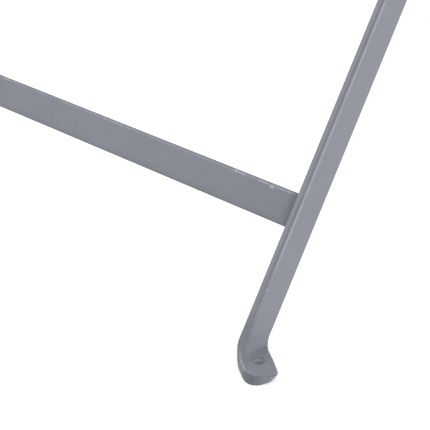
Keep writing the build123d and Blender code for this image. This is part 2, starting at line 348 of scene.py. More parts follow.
def leg_space(shade, where):
    """Wires for the place on a leg frame, the same on all four legs.

    They are the distance outwards from the leg's outer face, across and up the leg from its fold corner, the
    height above the floor, and the distance inwards from the fold corner along y."""
    x, y, low = (
        shade.add("ShaderNodeSeparateXYZ", None, {"Vector": where}, out=axis) for axis in range(3))
    out = abs(x) - LEG_OUTSIDE
    inwards = 0.0 - abs(y) - CORNER_Y
    across = inwards * IN_LEG.y + low * IN_LEG.z
    up = inwards * UP_LEG.y + low * UP_LEG.z
    return LegSpace(out, across, up, low, inwards)


def chip_mask(shade, where, centre, reach, rough):
    """Ragged patch round a point given by three (wire, place, half length) pairs."""
    total = None
    for wire, place, half in centre:
        off = (wire - place) / half
        term = off * off
        total = term if total is None else total + term
    ragged = shade.noise(where, rough, 3.0)
    return (total + (ragged - 0.5) * reach).ramp(1.0, 0.6)


def tinted(colour, share):
    """A colour times one share, with its alpha."""
    return [min(1, value * share) for value in colour] + [1]


def satin_paint(name, wear_light_and_shade=None):
    """Grey satin paint on rolled steel. The given function, if any, gives wires of bare places, of painted
    light and scuffed paint, and of painted shade and grime.
    """
    user = paint_settings()
    shade = Shade(name)
    where = shade.place()
    base = tinted(user.colour, 1)
    cloud = shade.noise(where, 14.0, 3.0)
    tone = shade.mix(cloud.ramp(0.3, 0.7), tinted(user.colour, CLOUD_DARK), tinted(user.colour, CLOUD_LIGHT))
    fine = shade.noise(where, 420.0, 3.0, 0.6)
    tone = shade.mix(fine.ramp(0.35, 0.75, 0.0, 0.35), tone, base)
    rough = user.roughness + (cloud - 0.5) * 0.10 + (fine - 0.5) * 0.10
    peel = shade.noise(where, 300.0, 2.0)
    grain = shade.noise(where, 1300.0, 2.0)
    height = peel * 0.7 + grain * 0.3
    if wear_light_and_shade is not None:
        bare, painted_light_and_rubbing, painted_shade_and_dirt = wear_light_and_shade(shade, where)
        painted_shade_and_dirt_colour = [value * share for value, share in zip(user.colour, PAINTED_SHADE_AND_DIRT_TINT)] + [1]
        # painted highlights and other painted light, with scuffed paint, lighten the tone
        tone = shade.mix(painted_light_and_rubbing, tone, tinted(user.colour, PAINTED_LIGHT_AND_RUB_SHARE))
        # painted shade, with the grime on the feet's ends, darkens the tone
        tone = shade.mix(painted_shade_and_dirt, tone, painted_shade_and_dirt_colour)
        tone = shade.mix(bare, tone, tinted(user.chip_colour, 1))
        rough = rough - bare * 0.10 - painted_light_and_rubbing * 0.06
        height = height - bare * 0.8
    bump = shade.add("ShaderNodeBump", None, {"Strength": 0.35, "Distance": user.peel, "Height": height})
    return shade.finish({"Base Color": tone, "Roughness": rough, "Normal": bump, "IOR": 1.48})


def leg_wear_light_and_shade(shade, where):
    """Painted highlights on the corners, painted shade along the edges, nicks on the front edge, and a knocked
    foot with painted light, painted shade, scuffs and grime.
    """
    place = leg_space(shade, where)
    out, across, up = place.out, place.across, place.up
    above_fold = up.ramp(80 * MM, 112 * MM, 0.15, 1.0)
    breaks = shade.noise(where, 70.0, 3.0).ramp(0.30, 0.55, 0.55, 1.0)
    edge_painted_light, edge_painted_shade = edge_light_and_shade(place, breaks, above_fold)
    foot_bare, foot_light_and_scuffs, foot_shade_and_dirt = foot_wear_light_and_shade(shade, where, place, breaks)
    hole_painted_light, hole_painted_shade = hole_light_and_shade(place)
    nick = chip_mask(
        shade, where, ((across, 0.0, 1.6 * MM), (out, 0.0, 1.6 * MM), (up, 77.7 * MM, 2.2 * MM)), 0.8, 700.0)
    weld_nick = chip_mask(
        shade, where, ((across, 0.0, 1.6 * MM), (out, -6.0 * MM, 2.4 * MM), (up, 172.5 * MM, 2.4 * MM)),
        0.9, 600.0)
    bare = (nick * 0.30).most(foot_bare)
    # painted highlights and other painted light, with the scuffs on the foot and a weld mark
    painted_light_and_rubbing = edge_painted_light.most(foot_light_and_scuffs).most(hole_painted_light).most(weld_nick * 0.22)
    # painted shade along the edges, on the foot and round the hole's rim, with grime on the foot's end
    return bare, painted_light_and_rubbing, edge_painted_shade.most(foot_shade_and_dirt).most(hole_painted_shade)


def edge_light_and_shade(place, breaks, above_fold):
    """Painted highlights and painted shade lines along the leg's corners, painted light on the lower leg and
    painted shade where it meets the floor: wires of painted light and of painted shade.
    """
    out, across, up, low = place.out, place.across, place.up, place.low
    side = across.ramp(1.7 * MM, 0.9 * MM) * up.ramp(22 * MM, 34 * MM)
    # painted highlight on the front outer corner, a painted light band on the front side, and a faint painted
    # highlight by the rear edge
    front_corner = (across - out).ramp(2.0 * MM, 1.1 * MM) * up.ramp(40 * MM, 60 * MM)
    side_band = abs(out + 6.6 * MM).ramp(2.2 * MM, 0.8 * MM) * side
    from_rear = LEG_WIDE - across
    rear_line = abs(from_rear - 2.2 * MM).ramp(1.0 * MM, 0.4 * MM)
    painted_light_and_rubbing = (front_corner * 0.80).most(side_band * 0.28).most(rear_line * 0.07) * breaks * above_fold
    # painted light, lighter towards the floor
    painted_light_and_rubbing = painted_light_and_rubbing.most(low.ramp(110 * MM, 10 * MM) * 0.10)
    # painted shade: a dark line on the front side by its outer corner, the inner and rear edges, and the front
    # side by the fold
    side_shade_line = abs(out + 2.9 * MM).ramp(2.2 * MM, 0.8 * MM) * side
    inner_edge_shade = out.ramp(1.1 * MM - LEG_THICK, 0.4 * MM - LEG_THICK) * side
    rear_edge_shade = from_rear.ramp(1.3 * MM, 0.5 * MM) * up.ramp(30 * MM, 45 * MM)
    fold_side = across.ramp(2.6 * MM, 1.2 * MM) * low.ramp(9 * MM, 14 * MM) * up.ramp(62 * MM, 36 * MM)
    painted_shade_and_dirt = (side_shade_line * 0.26).most(inner_edge_shade * 0.20).most(rear_edge_shade * 0.26).most(fold_side * 0.34)
    # painted shade where the foot meets the floor
    return painted_light_and_rubbing, painted_shade_and_dirt.most(low.ramp(2.2 * MM, 0.4 * MM) * 0.35)


def along_foot(place):
    """Wire of the distance from the fold corner along the foot."""
    return place.out * cos(LEAN) - place.inwards * sin(LEAN)


def below_foot_top(place):
    """Wire of the depth under the foot's top face, which slopes down to the foot's end."""
    return along_foot(place).ramp(8 * MM, 40 * MM, LEG_THICK, LEG_THICK - FOOT_THINNING) - place.low


def foot_wear_light_and_shade(shade, where, place, breaks):
    """The foot's painted highlight and worn paint along its upper edge, scuffs and grime on its end, and
    painted shade on its end, front side and fold crease: wires of bare places, of painted light and scuffs,
    and of painted shade and grime.
    """
    user = bpy.context.scene.sawhorse_bars
    out, across, low = place.out, place.across, place.low
    along = along_foot(place)
    front_side = FOOT_ASIDE - user.flare * foot_swell(LEG_THICK / 2)
    aside = out * sin(LEAN) + place.inwards * cos(LEAN) - front_side
    below_top = below_foot_top(place)
    on_foot = low.ramp(18 * MM, 11 * MM)
    past_corner = (along - (FOOT_REACH - user.front_tip)).most(0.0)
    before_corner = (user.front_tip - aside).most(0.0)
    inside_end = user.front_tip - (past_corner * past_corner + before_corner * before_corner) ** 0.5

    # painted highlight along the foot's upper front edge, along which some paint is also worn off
    upper_edge = inside_end.ramp(1.8 * MM, 0.9 * MM) * below_top.ramp(1.5 * MM, 0.9 * MM) * on_foot
    upper_edge = upper_edge * along.ramp(-1 * MM, 4 * MM) * along.ramp(31 * MM, 27 * MM)
    bare = upper_edge * breaks * along.ramp(2 * MM, 6 * MM) * 0.16
    end = inside_end.ramp(2.7 * MM, 2.0 * MM) * along.ramp(27 * MM, 31 * MM) * on_foot
    scuff = shade.noise(where, 310.0, 3.0).ramp(0.60, 0.70) * end
    painted_light_and_rubbing = (upper_edge * 0.95).most(scuff * 0.16)

    blotch = shade.noise(where, 270.0, 4.0, 0.65).ramp(0.40, 0.60)
    front_end = aside.ramp(16 * MM, 6 * MM)
    # painted shade on the foot's end, darker towards its front, with blotchy grime
    end_shade_and_dirt = end * (0.20 + front_end * 0.28 + blotch * (front_end * 0.24 + 0.20))
    # painted shade on the foot's front side
    foot_side = inside_end.ramp(2.2 * MM, 1.2 * MM) * below_top.ramp(0.7 * MM, 1.7 * MM) * on_foot
    crease_out = BEND_INSIDE * (1 - cos(CREASE_TURN))
    crease_low = BEND_START - BEND_INSIDE * sin(CREASE_TURN)
    from_crease = ((out - crease_out) ** 2 + (low - crease_low) ** 2) ** 0.5
    # painted shade in the fold's crease
    creased = from_crease.ramp(3.0 * MM, 0.5 * MM) * across.ramp(6 * MM, 14 * MM) * low.ramp(18 * MM, 14 * MM)
    painted_shade_and_dirt = end_shade_and_dirt.most(foot_side * (0.42 + front_end * 0.26)).most(creased * 0.20)
    return bare, painted_light_and_rubbing, painted_shade_and_dirt


def hole_light_and_shade(place):
    """Painted light on the wall inside the foot's hole and painted shade round its front rim: wires of painted
    light and of painted shade.
    """
    low = place.low
    below_top = below_foot_top(place)
    hole_out = place.out - (HOLE_X - LEG_OUTSIDE)
    hole_in = place.inwards - (HOLE_Y - CORNER_Y)
    from_hole = (hole_out ** 2 + hole_in ** 2) ** 0.5
    # painted light on the upper part of the hole's wall
    in_hole = from_hole.ramp(5.6 * MM, 5.2 * MM) * below_top.ramp(-0.4 * MM, 0.4 * MM)
    # painted shadow on the hole's rim, on the side towards the front
    rim = abs(from_hole - 5.6 * MM).ramp(1.2 * MM, 0.5 * MM) * low.ramp(18 * MM, 11 * MM)
    rim = rim * below_top.ramp(2 * MM, 1 * MM)
    towards_front = hole_out * 0.3 - hole_in * 0.9
    return in_hole * low.ramp(2.0 * MM, 5.0 * MM), rim * towards_front.ramp(-3.0 * MM, 1.0 * MM) * 0.65


def weld_corner_shade(shade, where):
    """Painted shade on the weld beads in the corners, strong by the crossbars and faint under the rails."""
    return 0.0, 0.0, leg_space(shade, where).up.ramp(250 * MM, 200 * MM, 0.15, 0.62)


def crossbar_wear_light_and_shade(shade, where):
    """Chips along the top edge of the crossbar's outward face, a painted highlight just under that edge, and
    painted shade along its top and lower edges and at its ends by the legs.
    """
    place = leg_space(shade, where)
    out, across = place.out, place.across
    from_top = (CROSSBAR_UP + CROSSBAR_TALL) - place.up
    from_bottom = place.up - CROSSBAR_UP
    outward = across.ramp(14.0 * MM, 12.8 * MM)
    ragged = shade.noise(where, 260.0, 4.0, 0.6).ramp(0.40, 0.56)
    windows = 0.0
    for middle, half in CROSSBAR_CHIPS:
        windows = abs(out - middle * MM).ramp(half * MM, half * MM * 0.7).most(windows)
    line = abs(from_top - 2.4 * MM).ramp(1.3 * MM, 0.5 * MM) * outward
    bare = line * ragged * windows * 0.42
    for middle, depth, half in CROSSBAR_KNOCKS:
        knock = chip_mask(
            shade, where,
            ((out, middle * MM, half * MM), (from_top, depth * MM, 1.7 * MM), (across, 12.0 * MM, 3.0 * MM)),
            1.5, 300.0)
        bare = bare.most(knock * 0.55)
    # painted highlight just under the top edge, broken up by noise
    highlight_breaks = shade.noise(where, 60.0, 3.0).ramp(0.30, 0.60, 0.4, 1.0)
    painted_light_and_rubbing = abs(from_top - 2.3 * MM).ramp(1.3 * MM, 0.5 * MM) * outward * highlight_breaks * 0.55
    # painted shade: a thin line at the top edge, the lower edge, and the ends by the legs
    painted_shade_and_dirt = from_top.ramp(1.3 * MM, 0.7 * MM) * 0.30
    painted_shade_and_dirt = painted_shade_and_dirt.most(from_bottom.ramp(2.2 * MM, 1.0 * MM) * 0.55)
    painted_shade_and_dirt = painted_shade_and_dirt.most(from_bottom.ramp(9 * MM, 1 * MM) * 0.17)
    from_leg = 0.0 - (out + LEG_THICK)
    painted_shade_and_dirt = painted_shade_and_dirt.most(from_leg.ramp(22 * MM, 8 * MM, 0.0, 0.58))
    return bare, painted_light_and_rubbing, painted_shade_and_dirt


def zinc_steel(name):
    """Dull zinc-plated steel, lightly brushed."""
    user = paint_settings()
    shade = Shade(name)
    where = shade.place()
    spangle = shade.noise(where, 240.0, 3.0)
    streak = shade.noise(shade.place((900, 60, 60)), 1.0, 3.0)
    tone = shade.mix(spangle.ramp(0.35, 0.65), tinted(user.zinc_colour, 0.78), tinted(user.zinc_colour, 1))
    rough = 0.34 + (spangle - 0.5) * 0.2 + (streak - 0.5) * 0.1
    bump = shade.add("ShaderNodeBump", None, {"Strength": 0.25, "Distance": 0.00004, "Height": streak})
    return shade.finish({"Base Color": tone, "Metallic": 0.85, "Roughness": rough, "Normal": bump})


def floor_paint(name):
    """Pale matt floor that glows a little, so that it hardly keeps a shadow."""
    user = bpy.context.scene.sawhorse_stage
    shade = Shade(name)
    cloud = shade.noise(shade.place(), 1.5, 2.0)
    tone = shade.mix(cloud, tinted(user.floor_colour, 1), tinted(user.floor_colour, 1.01))
    return shade.finish({
        "Base Color": tone, "Roughness": 0.9, "Specular IOR Level": 0.0,
        "Emission Color": (1, 1, 1, 1), "Emission Strength": user.floor_glow})


def ready_material(name, maker, *args):
    """The named material, made the first time it is asked for."""
    found = bpy.data.materials.get(name)
    return found if found else maker(name, *args)


# ---- mesh making -----------------------------------------------------------------------------------
# places of the points across a bar's wide face, as shares of it
WIDE_FACE = (0.012, 0.06, 0.14, 0.26, 0.38, 0.5, 0.62, 0.74, 0.86, 0.94, 0.988)
CORNER_STEPS = 4


def bar_ring(low, high, half, edge):
    """Round-edged section of a flat bar as (across, out) pairs, once round from its outer face."""
    edge = min(edge, half * 0.95, (high - low) * 0.45)
    flat_low, flat_high, flat_out = low + edge, high - edge, half - edge
    ring = [(flat_low + (flat_high - flat_low) * share, half) for share in WIDE_FACE]
    for centre, out, start in (
            (flat_high, flat_out, 90), (flat_high, -flat_out, 0), (flat_low, -flat_out, -90),
            (flat_low, flat_out, -180)):
        for step in range(CORNER_STEPS + 1):
            angle = radians(start - 90 * step / CORNER_STEPS)
            ring.append((centre + edge * cos(angle), out + edge * sin(angle)))
        if start == 0:
            ring += [(flat_low + (flat_high - flat_low) * share, -half) for share in reversed(WIDE_FACE)]
    return ring


def skin(mesh, rings):
    """Joins rings of points into a closed skin."""
    rows = [[mesh.verts.new(point) for point in ring] for ring in rings]
    for first, second in zip(rows, rows[1:]):
        count = len(first)
        for i in range(count):
            j = (i + 1) % count
            mesh.faces.new((first[i], first[j], second[j], second[i]))
    mesh.faces.new(list(reversed(rows[0])))
    mesh.faces.new(rows[-1])


def finished(name, mesh, material):
    """A scene object of a finished mesh."""
    bmesh.ops.recalc_face_normals(mesh, faces=mesh.faces)
    data = bpy.data.meshes.new(name)
    mesh.to_mesh(data)
    mesh.free()
    data.polygons.foreach_set("use_smooth", [True] * len(data.polygons))
    data.set_sharp_from_angle(angle=SMOOTH_ANGLE)
    data.materials.append(material)
    piece = bpy.data.objects.new(name, data)
    bpy.context.scene.collection.objects.link(piece)
    return piece


def plain(piece):
    """Replaces a piece's mesh by what its modifiers make of it, and drops the modifiers."""
    bpy.context.view_layer.update()
    graph = bpy.context.evaluated_depsgraph_get()
    result = bpy.data.meshes.new_from_object(piece.evaluated_get(graph), depsgraph=graph)
    piece.modifiers.clear()
    old = piece.data
    piece.data = result
    bpy.data.meshes.remove(old)
    return piece


def smoothstep(value, low, high):
    """Smooth step from 0 at low to 1 at high."""
    share = min(1, max(0, (value - low) / (high - low)))
    return share * share * (3 - 2 * share)


def folded(up, across, out):
    """Where a point of the straight bar goes once its foot is folded out, on the front right leg.

    up is the distance above the fold corner, across runs from the front edge, out from the bar's middle."""
    y = CORNER_Y + across * cos(LEAN) + up * sin(LEAN)
    past = BEND_START - (up * cos(LEAN) - across * sin(LEAN))
    if past <= 0:
        return Vector((LEG_OUTSIDE - LEG_THICK / 2 + out, y, BEND_START - past)), past
    turn = past / BEND_MIDDLE
    if turn < pi / 2:
        radius = BEND_MIDDLE - out
        return Vector((
            LEG_OUTSIDE + BEND_INSIDE - radius * cos(turn), y, BEND_START - radius * sin(turn))), past
    return Vector((LEG_OUTSIDE + BEND_INSIDE + past - BEND_MIDDLE * pi / 2, y, LEG_THICK / 2 + out)), past


def foot_swell(out):
    """Share of the flare: all of it at the underside, little at the top."""
    return 0.57 - 0.43 * out / (LEG_THICK / 2)


def leg_places():
    """Sections of the leg from above the rail to the foot's end: (up, low side, high side, half thick)."""
    user = bpy.context.scene.sawhorse_bars
    top = (LEG_TOP.z + 40 * MM) / cos(LEAN)
    fine_top = 52 * MM
    tip = FOOT_ALONG - FOOT_REACH
    rounded = max(user.front_tip, user.rear_tip)
    half = LEG_THICK / 2
    rim = 2.4 * MM
    places = []
    for start, end, step in ((top, fine_top, user.step), (fine_top, tip + rounded, FINE_STEP)):
        count = int((start - end) / step)
        for i in range(count):
            places.append((start - (start - end) * i / count, 0, LEG_WIDE, half))
    for i in range(TIP_RINGS + 1):
        left = rounded * (1 - sin(pi / 2 * i / TIP_RINGS))
        thin = half
        if left < rim:
            thin = half - rim + sqrt(rim * rim - (rim - left) ** 2)
        low, high = (
            radius - sqrt(max(0, radius * radius - max(0, radius - left) ** 2))
            for radius in (user.front_tip, user.rear_tip))
        overlap = max(0, low + high - (LEG_WIDE - 1 * MM)) / 2
        places.append((tip + left, low - overlap, LEG_WIDE - high + overlap, thin))
    return places


def leg_rings():
    """Rings of the front right leg, folded, flared, twisted and hammered at its foot."""
    user = bpy.context.scene.sawhorse_bars
    rings = []
    for up, low, high, thin in leg_places():
        flare = smoothstep(-up, -14 * MM, 8 * MM) * user.flare
        flare *= 1 - 0.75 * smoothstep(-up, 22 * MM, 44 * MM)
        ring = []
        for across, out in bar_ring(low, high, thin, user.edge):
            across -= flare * foot_swell(out) * smoothstep(low + 12 * MM - across, 0, 12 * MM)
            twist = FOOT_WARP * out * (across - LEG_WIDE / 2) * smoothstep(-up, 10 * MM, 30 * MM)
            point, past = folded(up - twist, across, out)
            worked = smoothstep(past, 4 * MM, 22 * MM)
            if worked > 0:
                point = hammered(point, past, across, out, worked * user.hammered)
            ring.append(point)
        rings.append(ring)
    return rings


def hammered(point, past, across, out, depth):
    """A point of the foot once it is dented, creased by the folding tool, thinned and kept off the floor."""
    dent = noise.noise(point * BIG_DENTS) * 0.6 + noise.noise(point * SMALL_DENTS) * 0.4
    point = point + hammer_way(past) * (dent * depth * (1 if out > 0 else 0.6))
    if out > 0:
        point = point - hammer_way(past) * crease(past, across)
    along = (point.x - LEG_OUTSIDE) * cos(LEAN) - (point.y - CORNER_Y) * sin(LEAN)
    point.z *= 1 - FOOT_THINNING / LEG_THICK * smoothstep(along, 8 * MM, 40 * MM)
    point.z = max(point.z, 0.0)
    return point


def hammer_way(past):
    """Direction out of the bar's outer face at this distance past the start of the fold."""
    turn = min(pi / 2, max(0, past / BEND_MIDDLE))
    return Vector((cos(turn), 0, sin(turn)))


def crease(past, across):
    """Depth of the mark that the folding tool left across the inside of the fold."""
    off = (past - BEND_MIDDLE * CREASE_TURN) / CREASE_HALF_WIDE
    return CREASE_DEPTH * exp(-off * off) * smoothstep(across, 7 * MM, 17 * MM)


def cut_flat(mesh, place, normal):
    """Cuts a closed mesh by a plane and closes the cut."""
    geometry = list(mesh.verts) + list(mesh.edges) + list(mesh.faces)
    cut = bmesh.ops.bisect_plane(mesh, geom=geometry, plane_co=place, plane_no=normal, clear_outer=True)
    edges = [item for item in cut["geom_cut"] if isinstance(item, bmesh.types.BMEdge)]
    bmesh.ops.contextual_create(mesh, geom=edges)


def foot_hole():
    """A round cutter with lightly flared ends for the hole in the front right foot."""
    mesh = bmesh.new()
    rings = []
    for height, flare in HOLE_FLARE:
        reach = HOLE_RADIUS + flare * MM
        ring = []
        for i in range(HOLE_FACETS):
            angle = 2 * pi * i / HOLE_FACETS
            ring.append(Vector((HOLE_X + reach * cos(angle), HOLE_Y + reach * sin(angle), height * MM)))
        rings.append(ring)
    skin(mesh, rings)
    bmesh.ops.recalc_face_normals(mesh, faces=mesh.faces)
    data = bpy.data.meshes.new("foot_hole_cutter")
    mesh.to_mesh(data)
    mesh.free()
    cutter = bpy.data.objects.new("foot_hole_cutter", data)
    bpy.context.scene.collection.objects.link(cutter)
    return cutter


def mirrored(data, side, face):
    """Mirrors the front right mesh to another leg."""
    data.transform(Matrix.Diagonal((side, -face, 1, 1)))
    if side * face > 0:
        data.flip_normals()


class SAWHORSE_OT_legs(bpy.types.Operator):
    """Make the four legs: flat bar on edge, its lower end folded out into a drilled foot"""

    bl_idname = "sawhorse.legs"
    bl_label = "Legs"

    def execute(self, context):
        paint = ready_material("grey_paint_legs", satin_paint, leg_wear_light_and_shade)
        mesh = bmesh.new()
        skin(mesh, leg_rings())
        cut_flat(mesh, Vector((0, LEG_TOP.y, 0)), Vector((0, 1, 0)))
        cut_flat(mesh, Vector((0, 0, LEG_TOP.z)), Vector((0, 0, 1)))
        master = finished("leg_front_right", mesh, paint)
        cutter = foot_hole()
        hole = master.modifiers.new("hole", "BOOLEAN")
        hole.operation = "DIFFERENCE"
        hole.solver = "EXACT"
        hole.object = cutter
        plain(master)
        bpy.data.objects.remove(cutter)
        master.data.set_sharp_from_angle(angle=SMOOTH_ANGLE)
        if len(master.data.polygons) < 1000:
            raise RuntimeError("the leg lost its shape when its hole was cut")
        for face_name, face in FACES.items():
            for side_name, side in SIDES.items():
                piece = master
                if (face_name, side_name) != ("front", "right"):
                    piece = bpy.data.objects.new(f"leg_{face_name}_{side_name}", master.data.copy())
                    context.scene.collection.objects.link(piece)
                    mirrored(piece.data, side, face)
                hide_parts(f"{face_name}_{side_name}_leg")
                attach(piece, f"{face_name}_frame")
        return {"FINISHED"}


class SAWHORSE_OT_crossbars(bpy.types.Operator):
    """Make the two crossbars that brace the leg frames near the floor"""

    bl_idname = "sawhorse.crossbars"
    bl_label = "Crossbars"

    def execute(self, context):
        user = context.scene.sawhorse_bars
        paint = ready_material("grey_paint_crossbars", satin_paint, crossbar_wear_light_and_shade)
        section = bar_ring(-CROSSBAR_TALL / 2, CROSSBAR_TALL / 2, CROSSBAR_THICK / 2, user.edge * 0.85)
        count = int(2 * LEG_INSIDE / user.step)
        for face_name, face in FACES.items():
            mesh = bmesh.new()
            rings = []
            for i in range(count + 1):
                x = -LEG_INSIDE + 2 * LEG_INSIDE * i / count
                middle = CROSSBAR_MIDDLE + Vector((x, 0, 0))
                rings.append([middle + UP_LEG * rise - IN_LEG * out for rise, out in section])
            skin(mesh, rings)
            piece = finished(f"crossbar_{face_name}", mesh, paint)
            mirrored(piece.data, 1, face)
            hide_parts(f"{face_name}_crossbar")
            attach(piece, f"{face_name}_frame")
        return {"FINISHED"}


# ---- geometry node trees ---------------------------------------------------------------------------
class Recipe:
    """Writes one geometry node tree with named inputs."""

    def __init__(self, name, inputs):
        self.tree = bpy.data.node_groups.new(name, "GeometryNodeTree")
        self.ids = {}
        self.tree.interface.new_socket("Geometry", in_out="INPUT", socket_type="NodeSocketGeometry")
        for label, kind, default in inputs:
            socket = self.tree.interface.new_socket(label, in_out="INPUT", socket_type=kind)
            if default is not None:
                socket.default_value = default
            self.ids[label] = socket.identifier
        self.tree.interface.new_socket("Geometry", in_out="OUTPUT", socket_type="NodeSocketGeometry")
        self.entry = self.tree.nodes.new("NodeGroupInput")

    def given(self, label):
        """The socket of one of the tree's own inputs."""
        return self.entry.outputs[label]

    def add(self, kind, settings=None, values=None, out=0):
        """One node with its settings, and values or sockets in its inputs; gives one output."""
        node = self.tree.nodes.new(kind)
        for key, value in (settings or {}).items():
            setattr(node, key, value)
        pairs = values.items() if isinstance(values, dict) else enumerate(values or ())
        for key, value in pairs:
            socket = node.inputs[key]
            if isinstance(value, bpy.types.NodeSocket):
                self.tree.links.new(value, socket)
            else:
                socket.default_value = value
        return node.outputs[out]

    def maths(self, operation, *values):
        return self.add("ShaderNodeMath", {"operation": operation}, values)

    def end(self, geometry):
        """Closes the tree: real, smooth geometry in the given material."""
        whole = self.add("GeometryNodeRealizeInstances", None, {"Geometry": geometry})
        smooth = self.add("GeometryNodeSetShadeSmooth", None, {"Geometry": whole})
        painted = self.add(
            "GeometryNodeSetMaterial", None, {"Geometry": smooth, "Material": self.given("Material")})
        last = self.tree.nodes.new("NodeGroupOutput")
        self.tree.links.new(painted, last.inputs["Geometry"])
        return self


def weld_recipe():
    """A rippled bead along every edge of the given mesh."""
    recipe = Recipe("weld_bead", (
        ("Radius", "NodeSocketFloat", 0.003), ("Ripple", "NodeSocketFloat", 0.0016),
        ("Seed", "NodeSocketFloat", 3.0), ("Material", "NodeSocketMaterial", None)))
    line = recipe.add("GeometryNodeMeshToCurve", None, {"Mesh": recipe.given("Geometry")})
    gap = recipe.maths("DIVIDE", recipe.given("Ripple"), 6.0)
    line = recipe.add("GeometryNodeResampleCurve", {"mode": "LENGTH"}, {"Curve": line, "Length": gap})
    travelled = recipe.add("GeometryNodeSplineParameter", None, None, out=1)
    turns = recipe.maths("DIVIDE", travelled, recipe.given("Ripple"))
    wave = recipe.maths("ABSOLUTE", recipe.maths("SINE", recipe.maths("MULTIPLY", turns, pi)))
    place = recipe.add("GeometryNodeInputPosition")
    uneven = recipe.add(
        "ShaderNodeTexNoise", {"noise_dimensions": "4D"},
        {"Vector": place, "W": recipe.given("Seed"), "Scale": 160.0, "Detail": 2.0})
    swell = recipe.maths("ADD", recipe.maths("MULTIPLY", wave, 0.12), recipe.maths("MULTIPLY", uneven, 0.55))
    share = recipe.maths("ADD", swell, 0.62)
    along = recipe.add("GeometryNodeSplineParameter", None, None, out=0)
    ends = recipe.maths("MULTIPLY", along, recipe.maths("SUBTRACT", 1.0, along))
    ends = recipe.maths("MINIMUM", recipe.maths("ADD", recipe.maths("MULTIPLY", ends, 40.0), 0.45), 1.0)
    radius = recipe.maths("MULTIPLY", recipe.given("Radius"), recipe.maths("MULTIPLY", share, ends))
    line = recipe.add("GeometryNodeSetCurveRadius", None, {"Curve": line, "Radius": radius})
    ring = recipe.add("GeometryNodeCurvePrimitiveCircle", None, {"Resolution": 14, "Radius": 1.0})
    values = {"Curve": line, "Profile Curve": ring, "Fill Caps": True}
    bead = recipe.add("GeometryNodeCurveToMesh", None, values)
    if "Scale" in bead.node.inputs:
        recipe.tree.links.new(recipe.add("GeometryNodeInputRadius"), bead.node.inputs["Scale"])
    return recipe.end(bead)


def rivet_recipe():
    """A domed head on every point of the given mesh, facing the way its "facing" says."""
    recipe = Recipe("rivet_heads", (
        ("Facets", "NodeSocketInt", 28), ("Height", "NodeSocketFloat", 0.55),
        ("Material", "NodeSocketMaterial", None)))
    facing = recipe.add("GeometryNodeInputNamedAttribute", {"data_type": "FLOAT_VECTOR"}, {"Name": "facing"})
    size = recipe.add("GeometryNodeInputNamedAttribute", {"data_type": "FLOAT"}, {"Name": "head"})
    rings = recipe.maths("DIVIDE", recipe.given("Facets"), 2.0)
    ball = recipe.add(
        "GeometryNodeMeshUVSphere", None, {"Segments": recipe.given("Facets"), "Rings": rings, "Radius": 1.0})
    flat = recipe.add("ShaderNodeCombineXYZ", None, {"X": 1.0, "Y": 1.0, "Z": recipe.given("Height")})
    dome = recipe.add("GeometryNodeTransform", None, {"Geometry": ball, "Scale": flat})
    turned = recipe.add("FunctionNodeAlignRotationToVector", {"axis": "Z"}, {"Vector": facing})
    points = recipe.add("GeometryNodeMeshToPoints", None, {"Mesh": recipe.given("Geometry")})
    heads = recipe.add(
        "GeometryNodeInstanceOnPoints", None,
        {"Points": points, "Instance": dome, "Rotation": turned, "Scale": size})
    return recipe.end(heads)


def made_by(recipe, name, data, values):
    """Runs a recipe on a mesh and gives the plain mesh it makes as a scene object."""
    piece = bpy.data.objects.new(name, data)
    bpy.context.scene.collection.objects.link(piece)
    modifier = piece.modifiers.new("recipe", "NODES")
    modifier.node_group = recipe.tree
    for label, value in values.items():
        modifier[recipe.ids[label]] = value
    plain(piece)
    if len(piece.data.polygons) < 20:
        raise RuntimeError(f"{name} came out empty")
    return piece


class SAWHORSE_OT_welds(bpy.types.Operator):
    """Lay the rippled weld beads at the crossbars' ends and under the top rails"""

    bl_idname = "sawhorse.welds"
    bl_label = "Welds"

    def execute(self, context):
        user = context.scene.sawhorse_joints
        paint = ready_material("grey_paint_welds", satin_paint, weld_corner_shade)
        recipe = weld_recipe()
        inset = user.bead * BEAD_INSET
        reach = CROSSBAR_TALL / 2 - BEAD_SHORT
        for face_name, face in FACES.items():
            ends = []
            for side in SIDES.values():
                for way in (-1, 1):
                    corner = CROSSBAR_MIDDLE + IN_LEG * way * (CROSSBAR_THICK / 2 + inset)
                    corner.x = side * (LEG_INSIDE - inset)
                    ends.append((corner - UP_LEG * reach, corner + UP_LEG * reach))
            self.lay(context, recipe, paint, f"{face_name}_crossbar_welds", face_name, face, ends)
            low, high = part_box("front_rail_welds")
            ends = []
            for side in SIDES.values():
                for x in (LEG_INSIDE - inset, LEG_OUTSIDE + inset):
                    bottom = Vector((side * x, LEG_TOP.y - inset, low.z + RAIL_BEAD_SHORT))
                    ends.append((bottom, Vector((bottom.x, bottom.y, high.z - RAIL_BEAD_SHORT))))
            self.lay(context, recipe, paint, f"{face_name}_rail_welds", face_name, face, ends)
        return {"FINISHED"}

    def lay(self, context, recipe, paint, node, face_name, face, ends):
        """One piece of beads from pairs of end points given for the front frame."""
        user = context.scene.sawhorse_joints
        data = bpy.data.meshes.new(node)
        points = [point for pair in ends for point in pair]
        data.from_pydata(points, [(2 * i, 2 * i + 1) for i in range(len(ends))], [])
        data.transform(Matrix.Diagonal((1, -face, 1, 1)))
        values = {"Radius": user.bead, "Ripple": user.ripple, "Material": paint}
        piece = made_by(recipe, "bead_" + node, data, values)
        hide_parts(node)
        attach(piece, f"{face_name}_frame")


